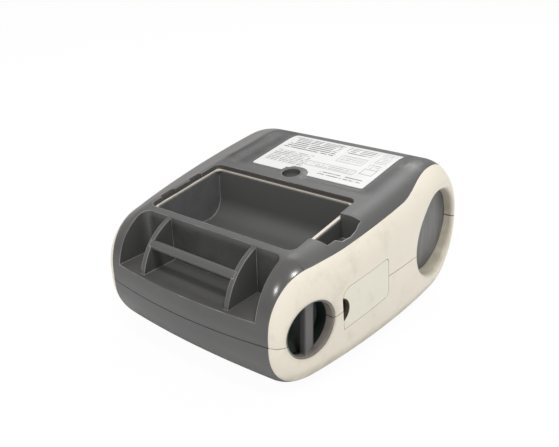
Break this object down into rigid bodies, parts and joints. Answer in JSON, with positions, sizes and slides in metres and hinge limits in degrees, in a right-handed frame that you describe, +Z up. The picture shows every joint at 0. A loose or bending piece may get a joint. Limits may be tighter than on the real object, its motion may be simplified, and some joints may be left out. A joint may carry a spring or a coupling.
{
  "type": "portable label printer",
  "caption": "Handheld label printer lying on its lid: two-part dark case with pale side bands, open battery bay, belt-clip pocket, strap eyes and a hinged media lid.",
  "frame": {"origin": "middle of the bounding box at the level of the table, with the printer lying on its lid as pictured", "axes": "+Z up, away from the table, towards the underside with the battery bay; +X the side with the port door; +Y the round roll end, -Y the nose with the belt-clip pocket"},
  "size_m": [0.118, 0.145, 0.0676],
  "materials": {
    "dark_plastic": "fine grain, satin",
    "cream_plastic": "smooth, soft sheen",
    "cream_rubber": "soft matte",
    "window_plastic": "smoked, semi-gloss",
    "cup_plastic": "polished dark",
    "seal": "tan, matte",
    "black_plastic": "matte",
    "label": "plain white film",
    "steel": "bright",
    "sheet_steel": "zinc plated",
    "gold": "plated",
    "board": "solder mask green",
    "chip": "matte black",
    "tin": "tin plated",
    "rubber_black": "ground",
    "gear_plastic": "natural acetal",
    "bronze": "sintered",
    "brass": "bright",
    "aluminium": "extruded",
    "ceramic": "glazed ceramic",
    "film": "amber film",
    "clear": "clear, polished",
    "display": "grey green",
    "button_blue": "satin",
    "button_red": "satin",
    "guide_green": "satin"
  },
  "bodies": {
    "case": {"rear_case": "dark_plastic", "front_case": "dark_plastic", "clip_bar": "dark_plastic", "battery_tub": "dark_plastic", "strap_eye_right": "dark_plastic", "strap_eye_left": "dark_plastic", "right_band_rear": "cream_plastic", "right_band_front": "cream_plastic", "left_band_rear": "cream_plastic", "left_band_front": "cream_plastic", "roll_window_right": "window_plastic", "roll_window_left": "window_plastic", "strap_cup_right": "cup_plastic", "strap_cup_left": "cup_plastic", "bay_seal": "seal", "contact_block": "black_plastic", "dc_jack": "black_plastic", "gap_sensor": "black_plastic", "media_tray": "black_plastic", "tact_switches": "black_plastic", "rating_label": "label", "case_screws": "steel", "lid_hinge_pin": "steel", "lid_spring": "steel", "head_springs": "steel", "tear_bar": "steel", "latch_spring": "steel", "board_screws": "steel", "print_frame": "sheet_steel", "battery_contacts": "gold", "port_board": "board", "panel_board": "board", "main_board": "board", "board_chips": "chip", "usb_socket": "tin", "radio_module": "tin", "head_heatsink": "aluminium", "feed_motor": "aluminium", "print_head": "ceramic", "head_cable": "film", "display_window": "clear", "lcd_module": "display"},
    "lid": {"lid": "dark_plastic", "lid_window": "clear", "platen_bushes": "bronze"},
    "platen": {"platen_roller": "rubber_black", "platen_shaft": "steel", "platen_gear": "gear_plastic"},
    "idler_a": {"idler_gear_a": "gear_plastic"},
    "idler_b": {"idler_gear_b": "gear_plastic"},
    "pinion": {"motor_pinion": "brass"},
    "latch": {"lid_latch": "black_plastic"},
    "release": {"release_button": "black_plastic"},
    "feed": {"feed_button": "button_blue"},
    "power": {"power_button": "button_red"},
    "door": {"port_door": "cream_rubber"},
    "guide_l": {"guide_left": "guide_green"},
    "guide_r": {"guide_right": "guide_green"},
    "guide_gear": {"guide_pinion": "gear_plastic"}
  },
  "joints": [
    {"name": "lid_hinge", "type": "hinge", "parent": "case", "child": "lid", "pos_m": [0, 0.05747, 0.01143], "axis": [1, 0, 0], "range_deg": [0, 75]},
    {"name": "motor_spin", "type": "hinge", "parent": "case", "child": "pinion", "pos_m": [0, -0.03689, 0.02506], "axis": [1, 0, 0], "continuous": true},
    {"name": "idler_b_spin", "type": "hinge", "parent": "case", "child": "idler_b", "pos_m": [0, -0.03116, 0.01513], "axis": [1, 0, 0], "continuous": true},
    {"name": "idler_a_spin", "type": "hinge", "parent": "case", "child": "idler_a", "pos_m": [0, -0.0155, 0.01513], "axis": [1, 0, 0], "continuous": true},
    {"name": "platen_spin", "type": "hinge", "parent": "lid", "child": "platen", "pos_m": [0, -0.0035, 0.0082], "axis": [1, 0, 0], "continuous": true},
    {"name": "release_press", "type": "slide", "parent": "case", "child": "release", "axis": [0, 0, 1], "range_m": [0, 0.0031], "stiffness_N_per_m": 400, "springref_m": -0.001},
    {"name": "latch_turn", "type": "hinge", "parent": "case", "child": "latch", "pos_m": [0, -0.005, 0.0258], "axis": [1, 0, 0], "range_deg": [-10, 0], "stiffness_Nm_per_rad": 0.05, "springref_deg": 5.73},
    {"name": "feed_press", "type": "slide", "parent": "case", "child": "feed", "axis": [0, 0, 1], "range_m": [0, 0.0005], "stiffness_N_per_m": 600, "springref_m": -0.0005},
    {"name": "power_press", "type": "slide", "parent": "case", "child": "power", "axis": [0, 0, 1], "range_m": [0, 0.0005], "stiffness_N_per_m": 600, "springref_m": -0.0005},
    {"name": "door_hinge", "type": "hinge", "parent": "case", "child": "door", "pos_m": [0.05827, -0.00777, 0.0327], "axis": [0, -0.0958, 0.9954], "range_deg": [0, 100]},
    {"name": "guide_r_slide", "type": "slide", "parent": "case", "child": "guide_r", "axis": [-1, 0, 0], "range_m": [0, 0.013]},
    {"name": "guide_l_slide", "type": "slide", "parent": "case", "child": "guide_l", "axis": [1, 0, 0], "range_m": [0, 0.013]},
    {"name": "guide_gear_spin", "type": "hinge", "parent": "case", "child": "guide_gear", "pos_m": [0, 0.0165, 0.0595], "axis": [0, 0, 1], "range_deg": [-214, 0]}
  ],
  "couplings": [
    {"joint": "idler_b_spin", "follows": "motor_spin", "ratio": -0.46154},
    {"joint": "idler_a_spin", "follows": "motor_spin", "ratio": 0.46154},
    {"joint": "platen_spin", "follows": "motor_spin", "ratio": -0.6},
    {"joint": "latch_turn", "follows": "release_press", "rad_per_m": -55.556},
    {"joint": "guide_l_slide", "follows": "guide_r_slide", "ratio": 1},
    {"joint": "guide_gear_spin", "follows": "guide_r_slide", "rad_per_m": -285.71}
  ]
}
